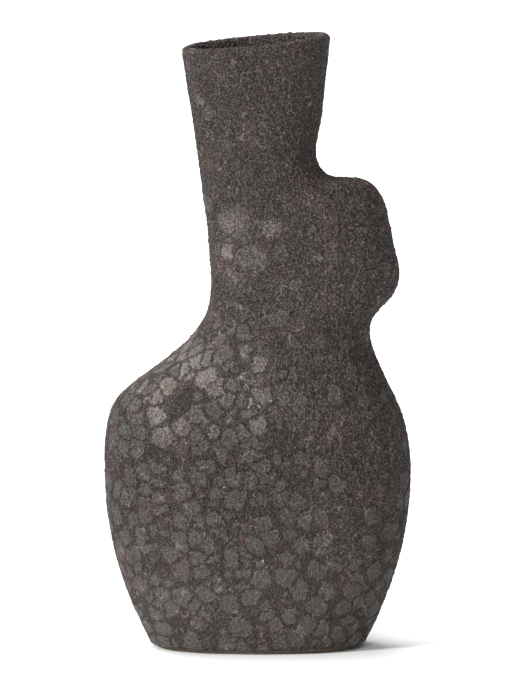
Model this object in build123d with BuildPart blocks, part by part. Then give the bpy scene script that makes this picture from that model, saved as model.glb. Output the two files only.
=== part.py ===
"""Hand-built stoneware vase: a flattened oval bottle with a side lobe and a flared, slanted neck.

Frame: millimetres, +Z up, origin in the middle of the standing face.  X runs across the wide
front, with the lobe at +X.  Y runs front to back, and the front looks towards -Y.

Every surface of the wall is one form, taken in by a different amount: the glazed outside by
nothing, the clay's outside by the glaze's thickness, and so on inwards.  The form is a loft
through flattened oval sections.  Each section joins a point of the left outline to a point of
the right outline, so a section tilts where the two sides differ, as they do along the lobe.
"""

from build123d import *
from math import hypot
import os

os.makedirs("parts", exist_ok=True)

# ---- driving dimensions, millimetres ----
GLAZE = 0.8  # crusty outer glaze coat
CLAY = 4.5  # fired clay wall
LINER = 0.6  # glaze poured inside
SLIP = 0.6  # clay slurry that joins two scored edges
FLOOR = 7.0  # floor slab
FOOT_ROUND = 5.5  # rounding of the clay round the foot
LIP_ROUND = 1.9  # rounding of the clay at the mouth, inside and out
POOL = 4.0  # rounding of the liner where it pools between wall and floor
GLAZE_LINE = 1.3  # the outer glaze stops this far above the table
GLAZE_IN_NECK = 28.0  # the outer glaze runs this far down inside the mouth
NECK_JOINT = 252.0  # level where the neck is luted to the body
STANDING_RING = 9.0  # width of the flat ring that the vase stands on
RECESS = 1.5  # depth of the hollow inside that ring
RIM_LEFT = (-39.4, 312.7)  # the mouth slants up towards the lobe's side
RIM_RIGHT = (37.8, 320.0)
RIM_LEAN = 0.03  # and rises this much for each millimetre towards the back

SECTIONS = 64  # even steps up each loft
FULLNESS = 0.64  # handle of a section's quarter curves: 0.552 draws an ellipse, 1 nearly a box

# Stations of the two outlines, from below the foot to above the mouth:
# (left x, left z, right x, right z, half depth)
STATIONS = [
    (-48.0, -12, 48.0, -12, 28.0),  # below the foot, trimmed off
    (-62.0, 15, 62.0, 15, 37.0),
    (-73.2, 45, 73.2, 45, 43.5),
    (-79.7, 91, 79.7, 91, 47.0),  # widest
    (-78.7, 115, 77.1, 115, 46.0),
    (-74.0, 129, 72.4, 129, 44.0),  # left shoulder's corner
    (-63.6, 139, 67.4, 139, 42.0),
    (-47.4, 151, 62.0, 151, 38.5),
    (-33.4, 164, 58.2, 164, 35.0),  # waist under the lobe
    (-27.0, 174, 60.8, 174, 32.8),
    (-24.7, 183, 69.2, 183, 31.4),
    (-24.3, 192, 73.4, 192, 30.4),  # the lobe's lower corner
    (-25.2, 208, 71.3, 208, 29.4),
    (-26.9, 226, 67.3, 227, 28.6),
    (-28.3, 235, 62.4, 238.6, 28.0),
    (-28.8, 239, 56.2, 243.6, 27.7),  # the lobe's upper corner
    (-29.3, 243, 47.6, 244.9, 27.4),  # its ledge
    (-29.9, 247, 39.0, 245.5, 27.1),
    (-30.4, 251, 33.0, 249.6, 26.8),  # hollow where the ledge meets the neck
    (-31.0, 256, 30.3, 257, 26.6),
    (-33.0, 270, 31.9, 270, 27.4),
    (-36.3, 291, 34.6, 291, 29.8),
    (-41.0, 324, 38.9, 331, 34.0),  # above the mouth, trimmed off
]

# ---- worked out ----
WALL = GLAZE + CLAY  # from the glazed outside to the clay's inside
FLOOR_TOP = FLOOR + SLIP  # the wall stands on the seam on the floor slab
BODY_TOP = NECK_JOINT - SLIP

steps = [0.0]  # how far up the form each station lies, on the mean of its two sides
for low, high in zip(STATIONS, STATIONS[1:]):
    left_run = hypot(high[0] - low[0], high[1] - low[1])
    right_run = hypot(high[2] - low[2], high[3] - low[3])
    steps.append(steps[-1] + (left_run + right_run) / 2)
steps = [step / steps[-1] for step in steps]

left_outline = Edge.make_spline([Vector(s[0], 0, s[1]) for s in STATIONS], parameters=steps)
right_outline = Edge.make_spline([Vector(s[2], 0, s[3]) for s in STATIONS], parameters=steps)
back_ridge = Edge.make_spline([Vector(0, s[4], s[1]) for s in STATIONS], parameters=steps)

rim_left = Vector(RIM_LEFT[0], 0, RIM_LEFT[1])
rim_right = Vector(RIM_RIGHT[0], 0, RIM_RIGHT[1])
rim_run = rim_right - rim_left
rim_back = Vector(0, 1, RIM_LEAN)
MOUTH = Plane((rim_left + rim_right) / 2, x_dir=rim_run, z_dir=rim_run.cross(rim_back))


def station(t, inset):
    """The left point, right point and half depth of the section at t, taken in by inset."""
    mode = PositionMode.PARAMETER
    left = left_outline.position_at(t, position_mode=mode)
    right = right_outline.position_at(t, position_mode=mode)
    left_up = left_outline.tangent_at(t, position_mode=mode)
    right_up = right_outline.tangent_at(t, position_mode=mode)
    left += Vector(left_up.Z, 0, -left_up.X) * inset
    right += Vector(-right_up.Z, 0, right_up.X) * inset
    return left, right, back_ridge.position_at(t, position_mode=mode).Y - inset


def oval(level, wide, deep):
    """A flattened oval of these half sizes on the plane level."""
    with BuildSketch(level) as face:
        with BuildLine():
            for x, y in ((wide, deep), (-wide, deep), (-wide, -deep), (wide, -deep)):
                Bezier((x, 0), (x, FULLNESS * y), (FULLNESS * x, y), (0, y))
        make_face()
    return face.sketch


def section(t, inset):
    """The form's section at t."""
    left, right, deep = station(t, inset)
    across = right - left
    level = Plane((left + right) / 2, x_dir=across, z_dir=across.cross(Vector(0, 1, 0)))
    return oval(level, across.length / 2, deep)


def form(inset):
    """The vase's solid form, taken in by inset, with over-long ends to be trimmed."""
    with BuildPart() as solid:
        loft([section(i / SECTIONS, inset) for i in range(SECTIONS + 1)])
    return solid.part


def hollow(inset, floor, pool):
    """The space inside the wall, from floor up past the mouth, its bottom rounded by pool."""
    with BuildPart() as space:
        add(form(inset))
        split(bisect_by=Plane.XY.offset(floor), keep=Keep.TOP)
        if pool:
            fillet(space.faces().sort_by(Axis.Z)[0].edges(), pool)
    return space.part


def vessel(inset, foot, space, lip_round):
    """An open vessel with a rounded foot, cut off at the level foot, and a rounded lip."""
    with BuildPart() as solid:
        add(form(inset))
        split(bisect_by=Plane.XY.offset(foot), keep=Keep.TOP)
        split(bisect_by=MOUTH.offset(-inset), keep=Keep.BOTTOM)
        fillet(solid.faces().sort_by(Axis.Z)[0].edges(), FOOT_ROUND - foot)
        add(space, mode=Mode.SUBTRACT)
        lip = solid.faces().filter_by(GeomType.PLANE).sort_by(Axis.Z)[-1]
        fillet(lip.edges(), lip_round)
    return solid.part


# ---- the fired clay as one vessel, the glazed vessel, and the coats between the two ----
clay = vessel(GLAZE, 0, hollow(WALL, FLOOR, 0), LIP_ROUND)
glazed_hollow = hollow(WALL + LINER, FLOOR + LINER, POOL)
coats = vessel(0, -GLAZE, glazed_hollow, LIP_ROUND + LINER) - clay


# ---- clay ----
with BuildPart() as floor_slab:
    add(clay)
    split(bisect_by=Plane.XY.offset(FLOOR), keep=Keep.BOTTOM)
    foot = floor_slab.faces().sort_by(Axis.Z)[0].bounding_box().size
    ring = oval(Plane.XY, foot.X / 2 - STANDING_RING, foot.Y / 2 - STANDING_RING)
    extrude(ring, amount=RECESS, mode=Mode.SUBTRACT)
floor_slab.part.label = "floor_slab"

with BuildPart() as front_shell:
    add(clay)
    split(bisect_by=Plane.XY.offset(FLOOR_TOP), keep=Keep.TOP)
    split(bisect_by=Plane.XY.offset(BODY_TOP), keep=Keep.BOTTOM)
    split(bisect_by=Plane.XZ.offset(SLIP / 2), keep=Keep.TOP)
front_shell.part.label = "front_shell"

with BuildPart() as back_shell:
    add(clay)
    split(bisect_by=Plane.XY.offset(FLOOR_TOP), keep=Keep.TOP)
    split(bisect_by=Plane.XY.offset(BODY_TOP), keep=Keep.BOTTOM)
    split(bisect_by=Plane.XZ.offset(-SLIP / 2), keep=Keep.BOTTOM)
back_shell.part.label = "back_shell"

with BuildPart() as neck:
    add(clay)
    split(bisect_by=Plane.XY.offset(NECK_JOINT), keep=Keep.TOP)
neck.part.label = "neck"


# ---- slip joints ----
with BuildPart() as floor_seam:
    add(clay)
    split(bisect_by=Plane.XY.offset(FLOOR), keep=Keep.TOP)
    split(bisect_by=Plane.XY.offset(FLOOR_TOP), keep=Keep.BOTTOM)
floor_seam.part.label = "floor_seam"


def side_seam(side):
    """The slip between the two shells along one side: Keep.TOP is the right, BOTTOM the left."""
    with BuildPart() as seam:
        add(clay)
        split(bisect_by=Plane.XY.offset(FLOOR_TOP), keep=Keep.TOP)
        split(bisect_by=Plane.XY.offset(BODY_TOP), keep=Keep.BOTTOM)
        split(bisect_by=Plane.XZ.offset(SLIP / 2), keep=Keep.BOTTOM)
        split(bisect_by=Plane.XZ.offset(-SLIP / 2), keep=Keep.TOP)
        split(bisect_by=Plane.YZ, keep=side)
    return seam.part


with BuildPart() as left_seam:
    add(side_seam(Keep.BOTTOM))
left_seam.part.label = "left_seam"

with BuildPart() as right_seam:
    add(side_seam(Keep.TOP))
right_seam.part.label = "right_seam"

with BuildPart() as neck_seam:
    add(clay)
    split(bisect_by=Plane.XY.offset(BODY_TOP), keep=Keep.TOP)
    split(bisect_by=Plane.XY.offset(NECK_JOINT), keep=Keep.BOTTOM)
neck_seam.part.label = "neck_seam"


# ---- glaze coats, parted by a surface that runs up the middle of the clay ----
with BuildPart() as core:
    add(form(GLAZE + CLAY / 2))
    split(bisect_by=Plane.XY.offset(FLOOR / 2), keep=Keep.TOP)
    split(bisect_by=MOUTH.offset(-GLAZE_IN_NECK), keep=Keep.BOTTOM)

with BuildPart() as outer_glaze:
    add(coats)
    add(core.part, mode=Mode.SUBTRACT)
    split(bisect_by=Plane.XY.offset(GLAZE_LINE), keep=Keep.TOP)
outer_glaze.part.label = "outer_glaze"

with BuildPart() as inner_glaze:
    add(coats)
    add(core.part, mode=Mode.INTERSECT)
inner_glaze.part.label = "inner_glaze"


# ---- one file for each piece ----
PIECES = [
    floor_slab,
    floor_seam,
    front_shell,
    back_shell,
    left_seam,
    right_seam,
    neck_seam,
    neck,
    outer_glaze,
    inner_glaze,
]
for piece in PIECES:
    export_step(piece.part, f"parts/{piece.part.label}.step")
    box = piece.part.bounding_box()
    print(piece.part.label, round(piece.part.volume), "mm3", piece.part.is_valid, box)
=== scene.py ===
# %% [markdown]
# # A crusty stoneware vase
#
# The real vase is a flattened stoneware bottle with a hollow lobe on one side and a slanted
# mouth. Its charm is the skin: a thick, matt volcanic glaze that crawled in the kiln into grey
# flakes with dark cracks between them on the belly, and into fine pebbles everywhere else.
#
# The shape and every size come from the CAD frame. This lesson lays a new, much finer coat of
# glaze over it, with the flakes and pebbles as real relief, and paints it with the same nodes.

# %% Open the frame
import math

import bmesh
import bpy
import numpy as np
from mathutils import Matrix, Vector
from mathutils.bvhtree import BVHTree


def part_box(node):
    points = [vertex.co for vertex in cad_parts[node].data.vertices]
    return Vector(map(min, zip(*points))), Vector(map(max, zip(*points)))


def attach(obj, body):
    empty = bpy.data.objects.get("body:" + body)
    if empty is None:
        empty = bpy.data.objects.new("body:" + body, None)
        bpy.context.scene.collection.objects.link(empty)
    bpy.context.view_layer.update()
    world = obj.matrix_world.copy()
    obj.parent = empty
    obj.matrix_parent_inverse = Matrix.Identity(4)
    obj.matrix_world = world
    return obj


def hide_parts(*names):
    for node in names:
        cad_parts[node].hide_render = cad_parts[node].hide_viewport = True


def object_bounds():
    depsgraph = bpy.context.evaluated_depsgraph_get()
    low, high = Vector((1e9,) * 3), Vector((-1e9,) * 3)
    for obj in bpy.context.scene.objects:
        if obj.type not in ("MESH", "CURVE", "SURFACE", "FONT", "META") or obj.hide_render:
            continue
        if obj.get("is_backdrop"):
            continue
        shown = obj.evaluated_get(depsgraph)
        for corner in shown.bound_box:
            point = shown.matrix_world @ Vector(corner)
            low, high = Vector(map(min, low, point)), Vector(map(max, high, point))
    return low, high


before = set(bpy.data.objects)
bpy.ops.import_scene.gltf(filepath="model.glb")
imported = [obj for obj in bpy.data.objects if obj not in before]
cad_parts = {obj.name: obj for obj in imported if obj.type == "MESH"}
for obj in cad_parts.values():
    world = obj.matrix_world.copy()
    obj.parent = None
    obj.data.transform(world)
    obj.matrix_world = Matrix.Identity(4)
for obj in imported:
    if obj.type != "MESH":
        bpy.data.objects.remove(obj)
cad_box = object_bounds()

MM = 0.001
print("clay and glaze pieces:", sorted(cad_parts))
print("vase in mm:", [round(side / MM, 1) for side in cad_box[1] - cad_box[0]])

# %% [markdown]
# ## Feeling for the surface
#
# A finer coat needs points on the old one. They could be copied from the CAD mesh, but its
# triangles are long and uneven. Casting rays at it gives points wherever they are wanted, so
# the new coat can have small, even squares that relief shows up well on.

# %% A way to touch the pieces
def touchable(*names):
    """A search tree of these pieces' faces, which rays can be cast at."""
    corners, faces = [], []
    for name in names:
        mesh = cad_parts[name].data
        first = len(corners)
        corners += [v.co.copy() for v in mesh.vertices]
        faces += [[first + i for i in face.vertices] for face in mesh.polygons]
    return BVHTree.FromPolygons(corners, faces)


coat_tree = touchable("outer_glaze")
throat_tree = touchable("outer_glaze", "inner_glaze")
coat_low, coat_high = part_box("outer_glaze")
print("outer coat from", round(coat_low.z / MM, 2), "to", round(coat_high.z / MM, 2), "mm")

# %% [markdown]
# ## The two outlines
#
# Seen from the front, the left side and the lobe's side differ. Rays sent in level from each
# side, a hair apart, trace both outlines from the foot to the mouth.

# %% Trace the left and right outlines
HAIR = 0.04 * MM  # step between rays; small, because the lobe's ledge is nearly level
REACH = 0.2  # rays start this far out
OFF_EDGE = 0.01 * MM  # keeps a ray from slipping along an edge of the mesh


def outline(side):
    """Points (x, z) up one side of the coat: side is -1 for the left, 1 for the right."""
    points = []
    for z in np.arange(coat_low.z + HAIR, coat_high.z, HAIR):
        start = Vector((side * REACH, OFF_EDGE, z))
        hit = coat_tree.ray_cast(start, Vector((-side, 0, 0)))[0]
        if hit is not None and hit.x * side > 0:
            points.append((hit.x, hit.z))
    return np.array(points)


left_side, right_side = outline(-1), outline(1)
LIP_TOP = 3 * MM  # the lip is rounded above this depth, and gets rows of its own
mouth_left = Vector((left_side[-1][0], 0, left_side[-1][1]))
mouth_right = Vector((right_side[-1][0], 0, right_side[-1][1]))
mouth_up = (mouth_right - mouth_left).cross(Vector((0, 1, 0))).normalized()
print("mouth slants", round(math.degrees(math.atan2(mouth_up.x, mouth_up.z)), 1), "degrees")

# %% [markdown]
# ## Rings like hoops on a barrel
#
# The coat is knitted from hoops. Level hoops would skim along the lobe's flat ledge and tear,
# so they fan out there: the hoops' left ends rise slowly while their right ends climb the
# lobe, cross its ledge and go on up the neck. The list pairs a height on the left with a place
# on the right.

# %% Lay out the hoops
PAIRS = [  # left height, then right reach and right height, all in mm
    (1.4, 56.5, 1.4),
    (8.0, 61.0, 8.0),
    (150.0, 62.5, 150.0),
    (166.0, 58.2, 164.0),
    (180.0, 66.0, 180.0),
    (191.0, 73.2, 194.0),
    (205.0, 62.4, 238.6),
    (212.0, 56.2, 243.6),
    (218.0, 47.6, 244.9),
    (225.0, 39.0, 245.5),
    (234.0, 33.0, 249.6),
    (246.0, 30.4, 257.0),
    (278.0, 33.0, 281.0),
]
ROW = 0.72 * MM  # distance between hoops
COLUMNS = 704  # points on each hoop
CASTS = 360  # rays cast for each hoop, before its points are spread evenly
print(len(PAIRS), "pairs, and a hoop about every", round(ROW / MM, 2), "mm between them")

# %% [markdown]
# Each pair is turned into a distance along the left outline and one along the right.

# %% Find the pairs on the outlines
def run_along(points):
    """How far along a line of points each one is."""
    steps = np.linalg.norm(np.diff(points, axis=0), axis=1)
    return np.concatenate([[0], np.cumsum(steps)])


def nearest_run(points, runs, x, z):
    """How far along the outline the place nearest to (x, z) is."""
    return runs[np.argmin((points[:, 0] - x) ** 2 + (points[:, 1] - z) ** 2)]


def below_mouth(points, runs, corner):
    """How far along the outline it comes within LIP_TOP of the mouth's plane."""
    depth = (corner.x - points[:, 0]) * mouth_up.x + (corner.z - points[:, 1]) * mouth_up.z
    return runs[np.argmax(depth < LIP_TOP)]


left_runs, right_runs = run_along(left_side), run_along(right_side)
left_marks = [np.interp(z * MM, left_side[:, 1], left_runs) for z, _, _ in PAIRS]
right_marks = [nearest_run(right_side, right_runs, x * MM, z * MM) for _, x, z in PAIRS]
left_marks.append(below_mouth(left_side, left_runs, mouth_left))
right_marks.append(below_mouth(right_side, right_runs, mouth_right))
print("outlines in mm:", [round(marks[-1] / MM) for marks in (left_marks, right_marks)])

# %% [markdown]
# Between the pairs the ends change pace gently, or each pair would show as a faint line.

# %% Spread the hoops between the pairs
hoops = []
for i in range(len(left_marks) - 1):
    longer = max(left_marks[i + 1] - left_marks[i], right_marks[i + 1] - right_marks[i])
    count = max(2, round(longer / ROW))
    for t in np.arange(count) / count:
        hoops.append((i, t))
hoops.append((len(left_marks) - 2, 1.0))


def place_on(points, runs, run):
    return Vector((np.interp(run, runs, points[:, 0]), 0, np.interp(run, runs, points[:, 1])))


def smooth_between(marks, i, t):
    """Between mark i and the next, curving so that the spacing changes gently."""
    slopes = np.gradient(np.array(marks), np.arange(len(marks)))
    a, b = marks[i], marks[i + 1]
    limit = 2.5 * (b - a)  # any steeper, and the hoops would cross
    m0, m1 = min(slopes[i], limit), min(slopes[i + 1], limit)
    return (
        (2 * t**3 - 3 * t**2 + 1) * a
        + (t**3 - 2 * t**2 + t) * m0
        + (3 * t**2 - 2 * t**3) * b
        + (t**3 - t**2) * m1
    )


hoop_ends = [
    (
        place_on(left_side, left_runs, smooth_between(left_marks, i, t)),
        place_on(right_side, right_runs, smooth_between(right_marks, i, t)),
    )
    for i, t in hoops
]
print(len(hoop_ends), "hoops of", COLUMNS, "points")

# %% [markdown]
# ## Casting the hoops onto the vase
#
# Each hoop lies in a slanted plane through its two ends. Rays run in from all round towards its
# middle, and where they land they are spread out again to equal steps, front and back apart,
# so that the same column always runs up the same side.

# %% Cast one hoop, and spread its points evenly
BACK = Vector((0, 1, 0))


def even_loop(points):
    """COLUMNS points at equal steps round a loop that starts on the right, going by the back."""
    half, count = len(points) // 2, COLUMNS // 2
    loop = np.vstack([points, points[:1]])
    parts = []
    for part in (loop[: half + 1], loop[half:]):
        runs = run_along(part)
        goal = np.linspace(0, runs[-1], count + 1)[:-1]
        parts.append(np.column_stack([np.interp(goal, runs, part[:, k]) for k in range(3)]))
    return np.vstack(parts)


def hoop(across, cast):
    """Even points from casting a ray in each direction round, starting across to the right."""
    points = []
    for angle in np.arange(CASTS) * math.tau / CASTS:
        hit = cast(across * math.cos(angle) + BACK * math.sin(angle))[0]
        points.append(hit if hit is not None else points[-1])
    return even_loop(np.array(points))


def hoop_outside(left, right):
    """The coat's outside in the plane through these two ends."""
    middle = (left + right) / 2
    across = (right - left).normalized()
    return hoop(across, lambda out: coat_tree.ray_cast(middle + out * REACH, -out))


def hoop_inside(middle):
    """The inside of the mouth, level with the mouth, round this middle."""
    return hoop(BACK.cross(mouth_up), lambda out: throat_tree.ray_cast(middle, out))


outside = np.array([hoop_outside(left, right) for left, right in hoop_ends])
print("outside grid", outside.shape)

# %% [markdown]
# ## Over the lip and down inside
#
# A hoop can't follow the rounded lip. There, each column swings over it like the hand of a
# clock, from the outside, over the top, to the inside. Below that the hoops go on down inside
# the neck, to a little below the place where the crusty coat gives way to the smooth liner.

# %% Turn over the lip and go down inside
THROAT = 31 * MM  # how deep the crusty coat reaches inside
LIP_ROWS = 13
HAND = 10 * MM  # the clock's hand, longer than the lip is thick

mouth_middle = (mouth_left + mouth_right) / 2
inside_depths = np.arange(LIP_TOP, THROAT, ROW)
inside = np.array([hoop_inside(mouth_middle - mouth_up * d) for d in inside_depths])

lip = []
for turn in np.linspace(0, math.pi, LIP_ROWS + 2)[1:-1]:
    row = []
    for out_point, in_point in zip(outside[-1], inside[0]):
        core = Vector((out_point + in_point) / 2)
        outward = Vector(out_point - in_point).normalized()
        hand = outward * math.cos(turn) + mouth_up * math.sin(turn)
        hit = coat_tree.ray_cast(core + hand * HAND, -hand)[0]
        row.append(hit if hit is not None else core + hand * LIP_TOP)
    lip.append(row)
lip = np.array(lip)
print("lip grid", lip.shape, "inside grid", inside.shape)

# %% [markdown]
# ## One smooth grid
#
# The rays land on flat CAD triangles, so the grid carries faint facets. A few rounds of
# averaging each point with its neighbours melts them away, while the shape stays put.

# %% Join the grids and melt the facets
def melt(grid, rounds):
    """Average each point with its neighbours along and across, leaving the end rows alone."""
    for _ in range(rounds):
        grid = (np.roll(grid, 1, 1) + 2 * grid + np.roll(grid, -1, 1)) / 4
        grid[1:-1] = (grid[:-2] + 2 * grid[1:-1] + grid[2:]) / 4
    return grid


skin = melt(np.concatenate([outside, lip, inside]), 3)
skin = np.roll(skin, -COLUMNS // 4, axis=1)  # the seam of the map goes to the back
ROWS = len(skin)
print("glaze grid", skin.shape, "->", ROWS * COLUMNS, "squares")


def outward_of(grid):
    """The direction straight out of the surface at each point of a grid."""
    around = np.roll(grid, -1, 1) - np.roll(grid, 1, 1)
    up = np.gradient(grid, axis=0)
    out = np.cross(around, up)
    return out / np.maximum(np.linalg.norm(out, axis=2, keepdims=True), 1e-12)


out = outward_of(skin)
print("outward at the widest place on the right:", out[ROWS // 5, 3 * COLUMNS // 4].round(2))

# %% [markdown]
# ## Ragged edges
#
# Glaze never ends in a ruled line. Above the foot the potter wipes it back with a sponge, and
# now and then a bit flakes off and shows the pale clay. So the edges wander up and down.

# %% Draw the glaze line at the foot and inside the neck
def wander(waves, seed):
    """A wandering line round the vase, between about -1 and 1, the same on every run."""
    random = np.random.default_rng(seed)
    turn = np.arange(COLUMNS) / COLUMNS * math.tau
    line = sum(
        random.normal() / wave**0.6 * np.sin(wave * turn + random.uniform(0, math.tau))
        for wave in waves
    )
    return line / np.abs(line).max()


def chips(count, wide, seed):
    """Short bites out of the edge: 0 along most of it, up to 1 in the middle of a bite."""
    random = np.random.default_rng(seed)
    turn = np.arange(COLUMNS) / COLUMNS
    line = np.zeros(COLUMNS)
    for _ in range(count):
        away = np.abs((turn - random.uniform() + 0.5) % 1 - 0.5) * COLUMNS
        bite = 1 - (away / (wide * random.uniform(0.5, 1.3))) ** 2
        line = np.maximum(line, np.clip(bite, 0, 1) ** 0.5 * random.uniform(0.5, 1))
    return line


FOOT_REACH = 16 * MM  # rows this far up move with the foot's edge
THROAT_REACH = 12 * MM  # and this far down with the edge inside the neck
FOOT_WANDER = 0.35 * MM
FOOT_LIFT = 0.3 * MM  # keeps the edge off the table where it wanders down
THROAT_WANDER = 2.2 * MM
CHIP = 1.7 * MM  # the tallest bite
CHIP_WIDE = COLUMNS / 170  # half of an ordinary bite's width, in columns

foot_line = FOOT_WANDER * wander(range(3, 40), 4) + FOOT_LIFT
foot_line += CHIP * chips(17, CHIP_WIDE, 9)
throat_line = THROAT_WANDER * wander(range(2, 24), 6)
print("the foot's edge moves by up to", round(foot_line.max() / MM, 1), "mm")

# %% [markdown]
# The rows near an edge slide together, the first ones most, so no square is squashed flat.

# %% Slide the edges along
def slide(grid, line, reach):
    """Move the first rows along their columns by line, less and less up to reach."""
    moved = grid.copy()
    for j in range(COLUMNS):
        column = grid[:, j]
        runs = run_along(column)
        near = runs < reach
        goal = runs[near] + line[j] * (1 - runs[near] / reach) ** 2
        for k in range(3):
            moved[near, j, k] = np.interp(goal, runs, column[:, k])
    return moved


skin = slide(skin, foot_line, FOOT_REACH)
skin = slide(skin[::-1], throat_line, THROAT_REACH)[::-1]
print("glaze ends up to", round(skin[0, :, 2].max() / MM, 1), "mm above the table")

# %% [markdown]
# ## A coat with a front and a back
#
# The coat is a closed thin shell: its outside, two rounded edges, and a back that lies against
# the clay. The back is never seen, so it has far fewer rows. How full the coat stands at each
# point is stored with the mesh, and the relief will use it to fade out at the edges.

# %% Build the closed coat
COAT = 0.74 * MM  # a hair thinner than the CAD coat, so that its back stays clear of the clay
THROAT_SHARE = 0.7  # the coat is this much thinner inside the neck
EDGE = 0.9 * MM  # width of the rounded edge
BACK_EVERY = 5  # the back keeps one row in this many

out = outward_of(skin)
runs = np.array([run_along(skin[:, j]) for j in range(COLUMNS)]).T
from_foot, from_throat = runs, runs[-1] - runs
edge = np.clip(np.minimum(from_foot, from_throat) / EDGE, 0, 1)
fullness = np.sqrt(1 - (1 - edge) ** 2)
thinner = np.where(from_throat < THROAT, THROAT_SHARE, 1.0)
front = skin - out * (COAT * thinner * (1 - fullness))[..., None]
back_rows = sorted(set(range(0, ROWS, BACK_EVERY)) | {ROWS - 1}, reverse=True)
back = (skin - out * (COAT * thinner)[..., None])[back_rows]

closed = np.concatenate([front, back])
strength = np.concatenate([fullness * thinner, np.zeros((len(back), COLUMNS))])
number = np.arange(closed.shape[0] * COLUMNS).reshape(-1, COLUMNS)
here, right = number, np.roll(number, -1, 1)
above, above_right = np.roll(here, -1, 0), np.roll(right, -1, 0)
quads = np.stack([here, right, above_right, above], -1).reshape(-1, 4)


def mesh_from(name, corners, faces):
    """A smooth-shaded mesh from arrays of corners and four-cornered faces."""
    mesh = bpy.data.meshes.new(name)
    mesh.vertices.add(len(corners))
    mesh.vertices.foreach_set("co", corners.ravel())
    mesh.loops.add(faces.size)
    mesh.loops.foreach_set("vertex_index", faces.ravel())
    mesh.polygons.add(len(faces))
    mesh.polygons.foreach_set("loop_start", np.arange(0, faces.size, 4))
    mesh.update(calc_edges=True)
    mesh.shade_smooth()
    return mesh


def keep_fullness(mesh, values):
    """Store with each corner how much of the relief it gets."""
    mesh.attributes.new("fullness", "FLOAT", "POINT").data.foreach_set("value", values.ravel())


coat_mesh = mesh_from("crusty_coat", closed.reshape(-1, 3), quads)
keep_fullness(coat_mesh, strength)
print("closed coat:", len(front), "rows outside and", len(back), "behind")

# %% [markdown]
# ## A map for baking
#
# A grid unrolls into a plain rectangle, with one seam up the back. That wastes no room, while
# an automatic unwrap would cut the vase into dozens of islands. The unseen back of the coat
# gets the thin strip that is left at the top.

# %% Unroll the coat
FRONT_SHARE = 0.94  # how much of the map's height the visible rows get
MARGIN = 0.002

front_v = np.linspace(MARGIN, FRONT_SHARE, ROWS)
back_v = np.linspace(FRONT_SHARE + 2 * MARGIN, 1 - MARGIN, len(back))
v_here = np.concatenate([front_v, back_v])
v_above = np.concatenate([v_here[1:], [v_here[-1]]])
u_here = np.linspace(MARGIN, 1 - MARGIN, COLUMNS + 1)
u_left, u_right = u_here[:-1], u_here[1:]
u = np.stack([u_left, u_right, u_right, u_left], -1)
u = np.broadcast_to(u, (len(closed), COLUMNS, 4))
v = np.broadcast_to(np.stack([v_here, v_here, v_above, v_above], -1)[:, None, :], u.shape)
chart = coat_mesh.uv_layers.new(name="OFBake")
chart.data.foreach_set("uv", np.stack([u, v], -1).astype(np.float32).ravel())
print("coat:", len(coat_mesh.vertices), "corners,", len(coat_mesh.polygons), "squares")

# %% [markdown]
# ## One recipe for relief and colour
#
# Where a flake stands up it also has its own grey, and the cracks between flakes are dark. So
# the same little network of textures has to shape the surface and paint it. Blender's texture
# nodes work both in geometry nodes and in materials, so one function writes the recipe into
# either kind of tree. The bench below only makes adding nodes shorter to write.

# %% A bench for adding nodes
class Bench:
    """Adds nodes to a tree and joins them. Values may be numbers, tuples or sockets."""

    def __init__(self, tree):
        self.tree = tree

    def set(self, socket, value):
        if isinstance(value, bpy.types.NodeSocket):
            self.tree.links.new(value, socket)
        elif value is not None:
            socket.default_value = value

    def add(self, kind, values=(), **settings):
        node = self.tree.nodes.new(kind)
        for name, setting in settings.items():
            setattr(node, name, setting)
        for name, value in dict(values).items():
            self.set(node.inputs[name], value)
        return node

    def math(self, how, a, b=None, c=None):
        node = self.add("ShaderNodeMath", operation=how)
        for socket, value in zip(node.inputs, (a, b, c)):
            self.set(socket, value)
        return node.outputs[0]

    def plus(self, a, b):
        return self.math("ADD", a, b)

    def minus(self, a, b):
        return self.math("SUBTRACT", a, b)

    def times(self, a, b):
        return self.math("MULTIPLY", a, b)

    def times_plus(self, a, b, c):
        """a times b, plus c."""
        return self.math("MULTIPLY_ADD", a, b, c)

    def vector(self, how, a, b):
        node = self.add("ShaderNodeVectorMath", operation=how)
        self.set(node.inputs[0], a)
        self.set(node.inputs[1], b)
        return node.outputs[0]

    def scaled(self, a, factor):
        node = self.add("ShaderNodeVectorMath", operation="SCALE")
        self.set(node.inputs[0], a)
        self.set(node.inputs[3], factor)
        return node.outputs[0]

    def fade(self, value, start, end, low=0.0, high=1.0):
        """low before start, high after end, and a soft slope between."""
        node = self.add("ShaderNodeMapRange", interpolation_type="SMOOTHSTEP")
        for socket, number in zip(node.inputs, (value, start, end, low, high)):
            self.set(socket, number)
        return node.outputs[0]

    def blend(self, share, a, b):
        """a where share is 0, b where it is 1, for numbers."""
        node = self.add("ShaderNodeMix", data_type="FLOAT")
        for socket, value in zip((node.inputs[0], node.inputs[2], node.inputs[3]), (share, a, b)):
            self.set(socket, value)
        return node.outputs[0]

    def tint(self, share, a, b, how="MIX"):
        """a where share is 0, b where it is 1, for colours."""
        node = self.add("ShaderNodeMix", data_type="RGBA", blend_type=how)
        for socket, value in zip((node.inputs[0], node.inputs[6], node.inputs[7]), (share, a, b)):
            self.set(socket, value)
        return node.outputs[2]

    def noise(self, place, size, detail=2.0, roughness=0.5, part="Fac"):
        """Cloudy noise whose blobs are about size mm across."""
        values = {"Vector": place, "Scale": 1 / size, "Detail": detail, "Roughness": roughness}
        return self.add("ShaderNodeTexNoise", values).outputs[part]

    def cells(self, place, size, feature="F1", part="Distance"):
        """Cells about size mm across."""
        values = {"Vector": place, "Scale": 1 / size}
        return self.add("ShaderNodeTexVoronoi", values, feature=feature).outputs[part]

    def split(self, vector):
        return self.add("ShaderNodeSeparateXYZ", {"Vector": vector}).outputs


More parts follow.
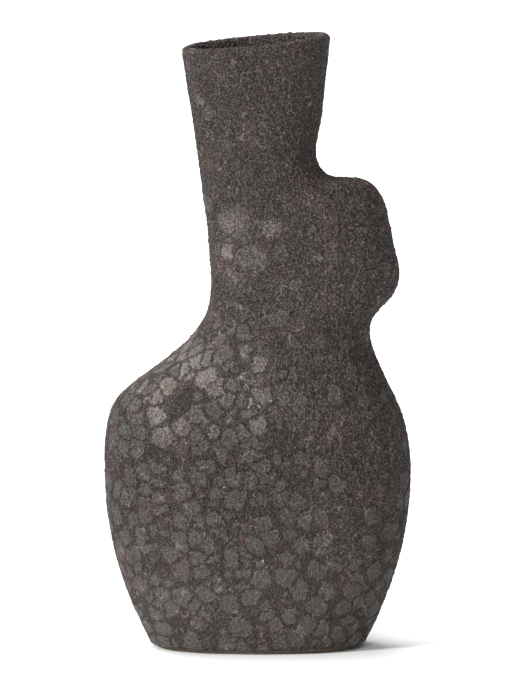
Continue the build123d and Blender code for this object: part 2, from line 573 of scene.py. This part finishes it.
print("the bench can:", *[name for name in vars(Bench) if name[0] != "_"])

# %% [markdown]
# ## The crust's recipe
#
# All sizes are in millimetres. Voronoi cells, read through a little noise so that their sides
# turn ragged, make the flakes. Each cell's random colour says whether its flake is there, how
# thick it is and which grey it takes. Flakes crowd the belly, most of all on the left, and get
# rare up the neck and on the lobe.

# %% Say where flakes crowd
FLAKE = 9.4  # usual width of a flake
SCALE = 4.2  # usual width of the small scales between flakes
PEBBLE = 2.9  # pebbles big enough to shape the surface
SEED = 1.7  # seeds between the pebbles
print("flakes, scales, pebbles, seeds in mm:", FLAKE, SCALE, PEBBLE, SEED)


def crowding(bench, place, x, z):
    """The chance of a flake: high on the left of the belly, low on the neck and the lobe."""
    belly = bench.fade(z, 140, 205, 1, 0)
    leftness = bench.fade(bench.times_plus(z, 0.6, x), 40, 115, 1, 0.3)
    patchy = bench.minus(bench.noise(place, 38, 2), 0.5)
    crowd = bench.times(belly, leftness)
    return bench.plus(crowd, bench.times_plus(patchy, 0.9, 0.1))


# %% [markdown]
# A real flake is a raft that stayed whole while the glaze round it pulled apart. The distance
# to its cell's wall, less a few crumbs, gives a flat top with a steep, ragged side.

# %% Shape the flakes and the scales
FLAKE_THIN, FLAKE_MORE = 0.14, 0.24  # the thinnest flake in mm, and what the thickest adds
SCALE_THIN, SCALE_MORE = 0.08, 0.16
print("flakes stand", FLAKE_THIN, "to", FLAKE_THIN + FLAKE_MORE, "mm high")


def flakes(bench, place, ragged, crumbs, chance):
    """Flakes, the cracks round them, where a flake's cell is, its thickness and its hue."""
    draw, thick, hue = bench.split(bench.cells(ragged, FLAKE, part="Color"))
    wall = bench.times(bench.cells(ragged, FLAKE, "DISTANCE_TO_EDGE"), FLAKE)
    corner = bench.fade(bench.cells(ragged, FLAKE), 0.42, 0.85, 0, 1.5)
    wall = bench.minus(bench.times_plus(crumbs, 1.3, wall), corner)
    gap = bench.times_plus(bench.noise(place, 11, 1), 1.0, -0.38)
    inside_wall = bench.fade(wall, gap, bench.plus(gap, 0.9))
    present = bench.fade(bench.minus(chance, draw), -0.04, 0.04)
    flake = bench.times(inside_wall, present)
    crack = bench.times(present, bench.minus(1, inside_wall))
    return flake, crack, present, thick, hue


def scales(bench, finely, crumbs, chance, present):
    """Small scales in the cells that have no flake, and each one's thickness."""
    draw, thick, _ = bench.split(bench.cells(finely, SCALE, part="Color"))
    wall = bench.times(bench.cells(finely, SCALE, "DISTANCE_TO_EDGE"), SCALE)
    wall = bench.plus(crumbs, wall)
    here = bench.fade(bench.minus(chance, draw), -0.3, -0.2)
    scale = bench.times(bench.fade(wall, 0.1, 0.9), here)
    return bench.times(scale, bench.minus(1, present)), thick


# %% [markdown]
# Thick glaze beads up into pebbles with thin curls between them. Pebbles come from the
# middles of small cells, curls from cloudy noise.

# %% Shape the pebbles and the ridges
PEBBLE_RISE = (0.36, 0.16)  # mm high between flakes, and on a flake
CURL_RISE = (0.3, 0.12)
WORM_RISE = (0.12, 0.06)
print("pebbles, curls and worms in mm:", PEBBLE_RISE, CURL_RISE, WORM_RISE)


def domes(bench, place, size):
    """A round top in the middle of each cell."""
    return bench.fade(bench.cells(place, size), 0.05, 0.62, 1, 0)


def ridges(bench, place, size, width):
    """Thin curling ridges, where cloudy noise crosses its middle value."""
    off = bench.math("ABSOLUTE", bench.minus(bench.noise(place, size, 1), 0.5))
    return bench.fade(off, 0.0, width, 1, 0)


# %% [markdown]
# The recipe adds up all these heights. It also hands back each part, for the paint.

# %% Write the crust's recipe
SINK = 0.5  # mm; without it the relief would only go out and never in
print("the crust's height starts", SINK, "mm deep")


def crust(bench, place):
    """The crust's parts at each place: shares from 0 to 1, and its height in mm."""
    x, _, z = bench.split(place)
    shake = bench.vector("SUBTRACT", bench.noise(place, 4.5, 3, 0.6, "Color"), (0.5, 0.5, 0.5))
    ragged = bench.vector("ADD", place, bench.scaled(shake, 6.5))
    finely = bench.vector("ADD", place, bench.scaled(shake, 2.2))
    crumbs = bench.minus(bench.noise(place, 1.1, 2, 0.6), 0.5)

    chance = crowding(bench, place, x, z)
    flake, crack, present, thick, hue = flakes(bench, place, ragged, crumbs, chance)
    scale, scale_thick = scales(bench, finely, crumbs, chance, present)
    seed = domes(bench, place, SEED)
    pebble = bench.times_plus(seed, 0.6, domes(bench, place, PEBBLE))
    worm = ridges(bench, finely, 3.4, 0.1)
    curl = ridges(bench, finely, 7, 0.05)
    curl = bench.times(curl, bench.fade(bench.noise(place, 7.5, 1), 0.54, 0.64))

    layers = [
        bench.times(bench.noise(place, 45, 1), 0.4),  # the hand's slow waves
        bench.times(flake, bench.times_plus(thick, FLAKE_MORE, FLAKE_THIN)),
        bench.times(scale, bench.times_plus(scale_thick, SCALE_MORE, SCALE_THIN)),
        bench.times(pebble, bench.blend(flake, *PEBBLE_RISE)),
        bench.times(curl, bench.blend(flake, *CURL_RISE)),
        bench.times(worm, bench.blend(flake, *WORM_RISE)),
    ]
    height = -SINK
    for layer in layers:
        height = bench.plus(layer, height)
    part = dict(x=x, z=z, finely=finely, flake=flake, crack=crack, thick=thick, hue=hue)
    return dict(part, scale=scale, pebble=pebble, seed=seed, curl=curl, worm=worm, height=height)


# %% [markdown]
# ## Raising the relief
#
# A bump texture only bends the light, and the edge of the vase would stay as smooth as a
# balloon's. Geometry nodes move every corner of the grid along its own outward direction by
# the recipe's height. Each corner's home, the place it had before the move, is kept with the
# mesh, because the paint has to be looked up there.

# %% Raise the relief on the coat
def relief_tree(recipe):
    """Geometry nodes that store each corner's home in mm and move it out by the recipe."""
    tree = bpy.data.node_groups.new("raise_" + recipe.__name__, "GeometryNodeTree")
    tree.interface.new_socket("Geometry", in_out="INPUT", socket_type="NodeSocketGeometry")
    tree.interface.new_socket("Geometry", in_out="OUTPUT", socket_type="NodeSocketGeometry")
    bench = Bench(tree)
    start = bench.add("NodeGroupInput").outputs[0]
    home = bench.scaled(bench.add("GeometryNodeInputPosition").outputs[0], 1 / MM)
    kept = bench.add("GeometryNodeStoreNamedAttribute", {"Name": "home"}, data_type="FLOAT_VECTOR")
    bench.set(kept.inputs["Geometry"], start)
    bench.set(kept.inputs["Value"], home)
    full = bench.add("GeometryNodeInputNamedAttribute", {"Name": "fullness"}, data_type="FLOAT")
    height = bench.times(recipe(bench, home)["height"], full.outputs[0])
    normal = bench.add("GeometryNodeInputNormal").outputs[0]
    move = bench.scaled(normal, bench.times(height, MM))
    moved = bench.add("GeometryNodeSetPosition", {"Geometry": kept.outputs[0], "Offset": move})
    bench.set(bench.add("NodeGroupOutput").inputs[0], moved.outputs[0])
    return tree


def placed(name, data):
    obj = bpy.data.objects.new(name, data)
    bpy.context.collection.objects.link(obj)
    return obj


def raised(name, mesh, recipe):
    """A finished object: the mesh with the recipe's relief applied for good."""
    obj = placed(name, mesh)
    obj.modifiers.new("relief", "NODES").node_group = relief_tree(recipe)
    graph = bpy.context.evaluated_depsgraph_get()
    shaped = bpy.data.meshes.new_from_object(
        obj.evaluated_get(graph), preserve_all_data_layers=True, depsgraph=graph
    )
    obj.modifiers.clear()
    obj.data = shaped
    shaped.name = name
    return obj


def corners_of(obj):
    places = np.empty(len(obj.data.vertices) * 3)
    obj.data.vertices.foreach_get("co", places)
    return places.reshape(-1, 3)


coat = raised("crusty_coat", coat_mesh, crust)
moved = np.linalg.norm(corners_of(coat) - closed.reshape(-1, 3), axis=1) / MM
print("relief in mm: up to", round(moved.max(), 2), "and on average", round(moved.mean(), 2))

# %% [markdown]
# ## The glaze's colours
#
# Up close the glaze is many greys: greenish, purplish and brownish flakes, dark gaps, rusty
# blotches where iron came through, and pale frosted flakes on the left shoulder, pale partly from
# painted sheen. The gap's dark also serves as painted shade, and the frost's pale as painted
# highlight. Colours are named once, as they would be read off a paint card, and turned into the
# light values that the shader works with.

# %% Name the glaze's colours
def paint(red, green, blue):
    """A colour from a paint card's 0 to 255 numbers."""
    def light(c):
        c /= 255
        return c / 12.92 if c <= 0.04045 else ((c + 0.055) / 1.055) ** 2.4

    return (light(red), light(green), light(blue), 1.0)


# the gap colour: the dark of the real cracks, and also painted shade between grains and in pits
DARK_GAP_AND_SHADE = paint(45, 40, 38)
GROUND = paint(78, 72, 70)
GREENISH = paint(76, 77, 73)
PURPLISH = paint(79, 74, 74)
BROWNISH = paint(75, 70, 67)
# the frost colour: pale frost, and also painted sheen and painted glints
PALE_FROST_AND_GLINT = paint(128, 120, 115)
RUST = paint(80, 59, 55)
SPECK = paint(196, 180, 162)
print("the ground's light:", [round(value, 3) for value in GROUND[:3]])

# %% [markdown]
# Every finish starts with a new material. Most have dots thrown at random, like grog or salt,
# and a bump for grain that is too fine for the mesh.

# %% Start a material, and scatter dots
BUMP = 1 * MM  # a bump's height is given in mm too
print("a bump of 1 is", BUMP, "m high")


def bare_material(name):
    """A new material with its bench and its shader."""
    material = bpy.data.materials.new(name)
    material.use_nodes = True
    bench = Bench(material.node_tree)
    shader = material.node_tree.nodes["Principled BSDF"]
    return material, bench, shader


def home_of(bench):
    """Where each point was before the relief moved it, in mm."""
    return bench.add("ShaderNodeAttribute", attribute_name="home").outputs["Vector"]


def dots(bench, place, spacing, radius, share):
    """Round dots of this radius in mm, on this share of spots about spacing mm apart."""
    spot = bench.times(bench.cells(place, spacing), spacing)
    draw = bench.split(bench.cells(place, spacing, part="Color"))[0]
    dot = bench.fade(spot, radius * 0.6, radius * 1.2, 1, 0)
    return bench.times(dot, bench.math("LESS_THAN", draw, share))


def surface(bench, shader, colour, roughness, specular):
    values = {"Base Color": colour, "Roughness": roughness, "Specular IOR Level": specular}
    for name, value in values.items():
        bench.set(shader.inputs[name], value)


def bumpy(bench, shader, height, strength=1.0):
    """Let this height in mm bend the light."""
    bump = bench.add("ShaderNodeBump", {"Height": height, "Distance": BUMP, "Strength": strength})
    bench.set(shader.inputs["Normal"], bump.outputs[0])


# %% [markdown]
# The ground is dark, with each grain's top painted lighter and the hollows between grains painted
# darker, as painted highlight and shade. Grey flakes lie over it, each with a hue of its own from
# its cell's random colour, and the cracks round them are darker still.

# %% Mix the greys
FLAKE_COVER, SCALE_COVER, CRACK_COVER = 0.56, 0.4, 0.45  # how much each hides the ground
print("flakes, scales, cracks hide the ground by", FLAKE_COVER, SCALE_COVER, CRACK_COVER)


def greys(bench, part, grain_top):
    """Grey flakes and scales on a dark ground, darker cracks, painted highlight and shade on
    grains.
    """
    # painted highlight on grain tops, painted shade in the hollows between grains
    ground = bench.tint(bench.times_plus(grain_top, 0.7, 0.2), DARK_GAP_AND_SHADE, GROUND)
    grey = bench.tint(bench.fade(part["hue"], 0.25, 0.6), GREENISH, PURPLISH)
    grey = bench.tint(bench.fade(part["hue"], 0.62, 0.85), grey, BROWNISH)
    colour = bench.tint(bench.times(part["flake"], FLAKE_COVER), ground, grey)
    colour = bench.tint(bench.times(part["scale"], SCALE_COVER), colour, BROWNISH)
    return bench.tint(bench.times(part["crack"], CRACK_COVER), colour, DARK_GAP_AND_SHADE)


# %% [markdown]
# Frost whitens the thickest flakes on the left shoulder, and lies like a haze in ovals low on
# the neck; its paleness is partly the glaze's own and partly painted sheen where these places
# face the light. Rust gathers between the flakes, and the ridges get painted glints.

# %% Add frost and rust
SHOULDER = (-28, 138, 50, 34)  # an oval: its middle's x and z, half its width and its height, in mm
COLLAR = (-9, 205, 15, 18)
BLOOMS = ((-12, 225, 9, 9), (7, 221, 7, 6), (-2, 206, 8, 8))
print("frost round", SHOULDER[:2], COLLAR[:2], "and bloom round", [bloom[:2] for bloom in BLOOMS])


def oval(bench, part, x, z, wide, tall):
    """1 inside a soft-edged oval round this place on the front and back, 0 outside."""
    across = bench.times_plus(part["x"], 1 / wide, -x / wide)
    up = bench.times_plus(part["z"], 1 / tall, -z / tall)
    off = bench.plus(bench.math("POWER", across, 2), bench.math("POWER", up, 2))
    return bench.fade(off, 0.1, 1.2, 1, 0)


def frost_and_sheen(bench, part, colour, tops, dust):
    """Pale frost on the shoulder's thick flakes and a bloom low on the neck, partly painted sheen.
    """
    shoulder, collar = oval(bench, part, *SHOULDER), oval(bench, part, *COLLAR)
    frost = bench.math("MAXIMUM", shoulder, collar)
    frost = bench.times(frost, bench.fade(part["thick"], 0.1, 1.0, 0.1, 1))
    frost = bench.times(frost, bench.times_plus(tops, 0.46, 0.14))
    # pale frost, partly painted sheen on the flake tops that face the light
    colour = bench.tint(frost, colour, PALE_FROST_AND_GLINT)
    left, right, low = [oval(bench, part, *bloom) for bloom in BLOOMS]
    bloom = bench.math("MAXIMUM", left, right)
    bloom = bench.math("MAXIMUM", bloom, bench.times(low, 0.6))
    bloom = bench.times(bloom, bench.fade(dust, 0.3, 0.65, 0.1, 0.45))
    # a pale haze low on the neck, partly painted sheen
    return bench.tint(bloom, colour, PALE_FROST_AND_GLINT)


def rust_and_ridge_glints(bench, part, colour, place):
    """Rusty blotches, strongest between flakes, and painted glints on the ridges."""
    rust = bench.fade(bench.noise(place, 15, 4, 0.6), 0.5, 0.7)
    rust = bench.times(rust, bench.blend(part["flake"], 0.5, 0.25))
    colour = bench.tint(rust, colour, RUST)
    # painted highlight along the worms, painted glints along the curls
    colour = bench.tint(bench.times(part["worm"], 0.05), colour, PALE_FROST_AND_GLINT)
    return bench.tint(bench.times(part["curl"], 0.36), colour, PALE_FROST_AND_GLINT)


# %% [markdown]
# Matt glaze is never even, so every grain gets a lightness of its own. Pebble and grain tops are
# also painted lighter and the hollows between grains darker, as painted highlight and shade.
# Towards the foot, where the glaze ran smoother, the seasoning calms down.

# %% Season it light and dark
SALT = (0.44, 1.56)  # how light the darkest and the palest dust is
CALM = 0.42  # how much of the seasoning is gone at the foot
print("dust makes the glaze", SALT[0], "to", SALT[1], "times as light")


def tone_and_painted_shade(bench, part, place, grain, dust, calm, lively):
    """How much lighter or darker each grain is, with painted highlight and shade; calmer at the
    foot.
    """
    mottle = bench.times_plus(bench.noise(place, 26, 3), 0.5, 0.99)
    salt = bench.fade(dust, 0.27, 0.73, *SALT)
    # painted highlight: pebble and seed tops lighter
    painted_top_highlight = bench.times_plus(part["seed"], 0.32, 0.72)
    painted_top_highlight = bench.times_plus(part["pebble"], 0.12, painted_top_highlight)
    depth = bench.times(mottle, bench.times(salt, painted_top_highlight))
    # painted highlight on grain tops, painted shade between grains
    depth = bench.times(depth, bench.fade(grain, 0.05, 0.75, 1.32, 0.66))
    return bench.times_plus(calm, 1.27, bench.times(depth, lively))


# %% [markdown]
# Now it all goes into one material. The same parts colour it and bend the light, so that
# grain and colour lie in the same places.

# %% Fire the glaze
def crusty_glaze():
    material, bench, shader = bare_material("crusty_glaze")
    place = home_of(bench)
    part = crust(bench, place)
    grain = bench.cells(place, 1.2)
    grain_top = bench.fade(grain, 0.08, 0.62, 1, 0)
    dust = bench.noise(place, 0.8, 3, 0.75)
    tops = bench.math("MAXIMUM", part["flake"], bench.times(part["scale"], 0.7))
    calm = bench.fade(part["z"], 15, 100, CALM, 0)
    lively = bench.minus(1, calm)

    colour = frost_and_sheen(bench, part, greys(bench, part, grain_top), tops, dust)
    colour = rust_and_ridge_glints(bench, part, colour, place)
    depth = tone_and_painted_shade(bench, part, place, grain, dust, calm, lively)
    colour = bench.tint(1.0, colour, bench.vector("MULTIPLY", depth, (1, 1, 1)), "MULTIPLY")
    # crumbs are painted as pale glints, pits as painted dark shadow
    glinting_crumb = dots(bench, place, 3.0, 0.5, 0.5)
    shaded_pit = dots(bench, place, 2.4, 0.6, 0.5)
    fleck = dots(bench, part["finely"], 21, 0.75, 0.45)
    colour = bench.tint(bench.times(glinting_crumb, 0.4), colour, PALE_FROST_AND_GLINT)
    colour = bench.tint(bench.times(shaded_pit, 0.55), colour, DARK_GAP_AND_SHADE)
    colour = bench.tint(bench.times(fleck, 0.65), colour, SPECK)
    surface(bench, shader, colour, bench.blend(tops, 0.9, 0.7), 0.12)

    fine = bench.times(grain_top, bench.blend(part["flake"], 0.5, 0.4))
    fine = bench.times_plus(dust, 0.3, fine)
    fine = bench.times_plus(part["worm"], 0.05, fine)
    fine = bench.times_plus(bench.minus(glinting_crumb, shaded_pit), 0.25, fine)
    for name in ("flake", "pebble", "seed"):
        fine = bench.times_plus(part[name], 0.24, fine)
    bumpy(bench, shader, bench.times(fine, lively))
    return material


coat.data.materials.clear()
coat.data.materials.append(crusty_glaze())
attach(coat, "root")
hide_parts("outer_glaze")
print("nodes in the glaze:", len(coat.data.materials[0].node_tree.nodes))

# %% [markdown]
# ## The foot
#
# The potter cuts the slab off its board with a twisted wire, which leaves arcs across the clay,
# then rounds the edge with a wet thumb and presses the middle in, so that the vase stands on a
# ring. A hand like a clock's finds the rounded edge, and rays from below find the ring and its
# hollow.

# %% Shape the foot
FOOT_COLUMNS = 420
FOOT_STEP = 0.7 * MM
CORNER_STEPS = 18  # points round the rounded edge
RING = 9 * MM  # the ring starts this far in from the slab's edge
HAND_HEIGHT = 0.92  # the clock's middle, as a share of the slab's thickness
UNDER = 5 * MM  # rays from below start this far under the table
HAND_START = 30 * MM  # and rays at the rounded edge this far out

slab_tree = touchable("floor_slab")
slab_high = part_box("floor_slab")[1]
slab_wide, slab_deep = slab_high.x, slab_high.y


def foot_column(angle):
    """Points from the slab's top edge, round its corner and along its underside, to the middle."""
    away = Vector((slab_wide * math.cos(angle), slab_deep * math.sin(angle), 0))
    inner = away * (1 - RING / away.length)
    core = inner + Vector((0, 0, slab_high.z * HAND_HEIGHT))
    points = []
    for turn in np.linspace(0, math.pi / 2, CORNER_STEPS):
        hand = away.normalized() * math.cos(turn) - Vector((0, 0, math.sin(turn)))
        points.append(slab_tree.ray_cast(core + hand * HAND_START, -hand)[0])
    for share in np.linspace(1, 0.02, round(slab_deep / FOOT_STEP))[1:]:
        below = inner * share - Vector((0, 0, UNDER))
        points.append(slab_tree.ray_cast(below, Vector((0, 0, 1)))[0])
    return np.array(points)


angles = np.arange(FOOT_COLUMNS) / FOOT_COLUMNS * math.tau
under = melt(np.array([foot_column(angle) for angle in angles]).swapaxes(0, 1), 4)
under[..., 2] = np.maximum(under[..., 2], 0)
print("underside grid", under.shape)

# %% [markdown]
# A lid, hidden in the vase, and a small fill in the middle make the foot a solid piece.

# %% Close the foot with a flat lid
LID_SHARES = (0.05, 0.6, 0.98, 1)  # how far out the lid's rings lie
lid = np.array([under[0] * (1, 1, 0) * share + (0, 0, slab_high.z) for share in LID_SHARES])
foot_grid = np.concatenate([lid, under])
number = np.arange(foot_grid[..., 0].size).reshape(-1, FOOT_COLUMNS)
right = np.roll(number, -1, 1)
foot_quads = np.stack([number[:-1], number[1:], right[1:], right[:-1]], -1)
foot_mesh = mesh_from("wire_cut_foot", foot_grid.reshape(-1, 3), foot_quads.reshape(-1, 4))
foot_strength = np.ones(foot_grid.shape[:2])
foot_strength[: len(lid) + 1] = 0
keep_fullness(foot_mesh, foot_strength)

bm = bmesh.new()
bm.from_mesh(foot_mesh)
bmesh.ops.holes_fill(bm, edges=[edge for edge in bm.edges if edge.is_boundary])
bm.to_mesh(foot_mesh)
bm.free()
print("foot:", len(foot_mesh.polygons), "faces")

# %% [markdown]
# The wire's marks are arcs round the hand that pulls it, and noise makes them sway a little.
# They only go inwards, or the vase would sink into the table.

# %% Cut it with the wire
WIRE_FROM = (-40, -120)  # the hand that pulls the wire, in mm
WAVES = 2.9  # radians of the arcs' wave in a mm
print("an arc about every", round(math.tau / WAVES, 1), "mm, round", WIRE_FROM)


def wire_cut(bench, place):
    """The wire's arcs and the grog: shares from 0 to 1, and the depth they make in mm."""
    x, y, _ = bench.split(place)
    across = bench.math("POWER", bench.plus(x, -WIRE_FROM[0]), 2)
    along = bench.math("POWER", bench.plus(y, -WIRE_FROM[1]), 2)
    from_hand = bench.math("SQRT", bench.plus(across, along))
    sway = bench.times(bench.noise(place, 12, 2), 5)
    arc = bench.math("SINE", bench.times(bench.plus(from_hand, sway), WAVES))
    arc = bench.fade(arc, -1, 0.8)
    grog = dots(bench, place, 1.7, 0.45, 0.4)
    dent = bench.times(bench.noise(place, 16, 3), 0.3)
    cut = bench.times_plus(arc, 0.12, dent)
    height = bench.minus(bench.times_plus(grog, 0.08, cut), 0.4)
    return {"arc": arc, "grog": grog, "height": height}


# %% [markdown]
# Where the glaze was wiped off the rounded edge, the clay just above the table is painted dark
# as painted shade, apart from a few pale nicks. Inside the ring the clay is bare.

# %% Paint shade on the foot's edge
def shaded_foot_edge(bench, place, cloud):
    """Painted shade, strong on the rounded edge above the table, apart from a few pale nicks."""
    x, y, z = bench.split(place)
    wide = bench.math("POWER", bench.times(x, MM / slab_wide), 2)
    deep = bench.math("POWER", bench.times(y, MM / slab_deep), 2)
    outer = bench.fade(bench.plus(wide, deep), 0.72, 0.82)
    nick = dots(bench, place, 8, 1.1, 0.3)
    lifted = bench.fade(bench.times_plus(cloud, 0.9, z), 0.35, 1.0)
    # painted shade low on the foot's rounded edge
    edge_shade = bench.times(lifted, bench.blend(nick, 0.93, 0.1))
    return bench.times(edge_shade, outer)


def foot_clay():
    material, bench, shader = bare_material("foot_clay")
    place = home_of(bench)
    part = wire_cut(bench, place)
    cloud = bench.noise(place, 14, 4, 0.6)
    iron = dots(bench, place, 4.2, 0.35, 0.6)
    colour = bench.tint(bench.fade(cloud, 0.35, 0.7), paint(204, 184, 152), paint(182, 160, 128))
    colour = bench.tint(bench.times(part["arc"], 0.35), colour, paint(222, 206, 178))
    colour = bench.tint(bench.times(part["grog"], 0.6), colour, paint(226, 214, 192))
    colour = bench.tint(bench.times(iron, 0.8), colour, paint(92, 62, 46))
    # painted shade on the foot's rounded edge
    colour = bench.tint(shaded_foot_edge(bench, place, cloud), colour, paint(66, 57, 53))
    surface(bench, shader, colour, bench.fade(cloud, 0.2, 0.8, 0.8, 0.95), 0.3)
    tooth = bench.times(bench.noise(place, 0.6, 3, 0.7), 0.16)
    bumpy(bench, shader, bench.times_plus(part["grog"], 0.1, tooth), 0.8)
    return material


foot = raised("wire_cut_foot", foot_mesh, wire_cut)
foot.data.materials.clear()
foot.data.materials.append(foot_clay())
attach(foot, "root")
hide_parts("floor_slab")
print("foot's lowest point, in mm:", round(corners_of(foot)[:, 2].min() / MM, 3))

# %% [markdown]
# ## Clay and liner
#
# The walls and the slip between them are the CAD's own. They are hidden between the glazes,
# but still get real clay: pale buff, with grog and iron specks.

# %% Mix the clays
def local_mm(bench):
    """Places in mm on a piece whose own mesh is its home."""
    place = bench.add("ShaderNodeTexCoord").outputs["Object"]
    return bench.scaled(place, 1 / MM)


def buff_clay(name, body, dark):
    """Matt clay between two shades, with pale grog and dark iron specks."""
    material, bench, shader = bare_material(name)
    place = local_mm(bench)
    cloud = bench.noise(place, 14, 4, 0.6)
    grit = bench.fade(bench.cells(place, 1.4), 0.12, 0.3, 1, 0)
    grit_draw = bench.split(bench.cells(place, 1.4, part="Color"))[0]
    grog = bench.times(grit, bench.fade(grit_draw, 0.7, 0.8))
    iron = bench.fade(bench.cells(place, 4.5), 0.05, 0.09, 1, 0)
    colour = bench.tint(bench.fade(cloud, 0.35, 0.7), body, dark)
    colour = bench.tint(bench.times(grog, 0.5), colour, paint(214, 200, 180))
    colour = bench.tint(bench.times(iron, 0.8), colour, paint(88, 62, 48))
    surface(bench, shader, colour, bench.fade(cloud, 0.2, 0.8, 0.8, 0.95), 0.3)
    tooth = bench.times(bench.noise(place, 0.6, 3, 0.7), 0.14)
    bumpy(bench, shader, bench.times_plus(grog, 0.12, tooth), 0.8)
    return material


clay = buff_clay("buff_clay", paint(196, 178, 150), paint(178, 158, 130))
slip = buff_clay("slip_clay", paint(180, 160, 132), paint(164, 144, 118))
print("nodes in a clay:", len(clay.node_tree.nodes))

# %% [markdown]
# The liner is a thinner, smoother glaze in the same dark brown. It was poured in and out
# again, so its cloudy streaks run down the wall.

# %% Mix the liner and finish the CAD's pieces
def liner_glaze():
    """A satin glaze whose cloudy streaks run down the wall."""
    material, bench, shader = bare_material("liner_glaze")
    place = local_mm(bench)
    cloud = bench.noise(bench.vector("MULTIPLY", place, (1, 1, 0.25)), 11, 3)
    colour = bench.tint(bench.fade(cloud, 0.3, 0.7), paint(50, 43, 40), paint(74, 64, 58))
    surface(bench, shader, colour, bench.fade(cloud, 0.3, 0.7, 0.38, 0.55), 0.5)
    ripple = bench.times(bench.noise(place, 2.2, 2), 0.08)
    bumpy(bench, shader, bench.times_plus(cloud, 0.5, ripple), 0.7)
    return material


def finish_node(name, material):
    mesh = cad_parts[name].data
    mesh.materials.clear()
    mesh.materials.append(material)


for name in ("front_shell", "back_shell", "neck"):
    finish_node(name, clay)
for name in ("floor_seam", "left_seam", "right_seam", "neck_seam"):
    finish_node(name, slip)
liner = liner_glaze()
finish_node("inner_glaze", liner)
print("the CAD's own pieces wear", clay.name, slip.name, liner.name)

# %% [markdown]
# ## Floor, light and camera
#
# The vase stands on a pale floor so wide that its far edge is as white as the room behind it,
# and no wall stands in the way of a look from behind.

# %% Lay the floor
FLOOR_WIDE = 60.0
print("floor:", FLOOR_WIDE, "m wide")


def pale_floor():
    far = FLOOR_WIDE / 2
    corners = [(-far, -far, 0), (far, -far, 0), (far, far, 0), (-far, far, 0)]
    mesh = bpy.data.meshes.new("pale_floor")
    mesh.from_pydata(corners, [], [(0, 1, 2, 3)])
    material, bench, shader = bare_material("pale_paper")
    surface(bench, shader, (0.92, 0.92, 0.92, 1), 0.9, 0.1)
    mesh.materials.append(material)
    return placed("pale_floor", mesh)


pale_floor()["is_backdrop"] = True

# %% [markdown]
# Far lamps light all of the floor alike. The strongest shines from the left and a little in
# front, so the vase darkens gently towards the right. A wider soft one hangs overhead.

# %% Light the vase
def far_lamp(name, from_where, power, spread):
    """A lamp as far as the sun, seen in this direction and this many degrees wide."""
    light = bpy.data.lights.new(name, "SUN")
    light.energy, light.angle = power, math.radians(spread)
    aim = (-Vector(from_where)).to_track_quat("-Z", "Y")
    placed(name, light).rotation_euler = aim.to_euler()


far_lamp("window_left", (-1.6, -1.2, 0.95), 3.6, 12)
far_lamp("window_front", (-0.2, -2.4, 1.35), 1.0, 24)
far_lamp("window_back", (-1.0, 1.1, 0.95), 0.8, 26)
far_lamp("sky_panel", (-0.4, 0.5, 2.1), 2.6, 50)
print("lamps:", [lamp.name for lamp in bpy.data.lights])

# %% [markdown]
# The room itself is dim, or it would fill every shadow. Only near the horizon is it white, like
# a pale wall far away, so that the floor runs into it without an edge. To the right it is
# duller, which lets that side of the vase fall away into shade.

# %% Paint the room
DIM = 0.3  # the ceiling against the white horizon
DULL = 0.5  # the far right against the rest
world = bpy.data.worlds.new("soft_room")
bpy.context.scene.world = world
world.use_nodes = True
room = Bench(world.node_tree)
rightward, _, upward = room.split(room.add("ShaderNodeTexCoord").outputs["Generated"])
shine = room.fade(upward, 0.1, 0.2, 1.0, DIM)
shine = room.times(shine, room.fade(rightward, 0.2, 0.9, 1.0, DULL))
background = world.node_tree.nodes["Background"].inputs
room.set(background["Strength"], shine)
room.set(background["Color"], (1, 1, 1, 1))
bpy.context.scene.view_settings.view_transform = "Standard"
print("ceiling", DIM, "and right", DULL, "of the white horizon")

# %% [markdown]
# A long lens from far away keeps the neck as wide as it is, and a slight look down opens the
# mouth to a thin ellipse.

# %% Set up the camera
DISTANCE = 3.2
LOOK_DOWN = math.radians(6.3)
TALL_IN_VIEW = 0.3562  # how much of the upright the frame shows at the vase
AIM_LEFT = 0.3 * MM  # the view's middle is this far left of the vase's
AIM_BELOW = 1.0 * MM  # and this far below it

camera = placed("camera", bpy.data.cameras.new("camera"))
camera.data.lens = camera.data.sensor_width * DISTANCE / TALL_IN_VIEW
middle = (cad_box[0] + cad_box[1]) / 2
aim = Vector((middle.x - AIM_LEFT, 0, middle.z - AIM_BELOW))
camera.location = aim + Vector((0, -math.cos(LOOK_DOWN), math.sin(LOOK_DOWN))) * DISTANCE
camera.rotation_euler = (math.pi / 2 - LOOK_DOWN, 0, 0)
camera.data.clip_end = FLOOR_WIDE
bpy.context.scene.camera = camera
print("camera's lens:", round(camera.data.lens), "mm")

# %% [markdown]
# ## Last checks
#
# The looks must not change the size, so the box of what shows is kept beside the CAD's box.

# %% Compare the boxes and finish
new_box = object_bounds()
growth = [(b - a) / MM for a, b in zip(cad_box[1] - cad_box[0], new_box[1] - new_box[0])]
print("the looks add, in mm:", [round(g, 2) for g in growth])
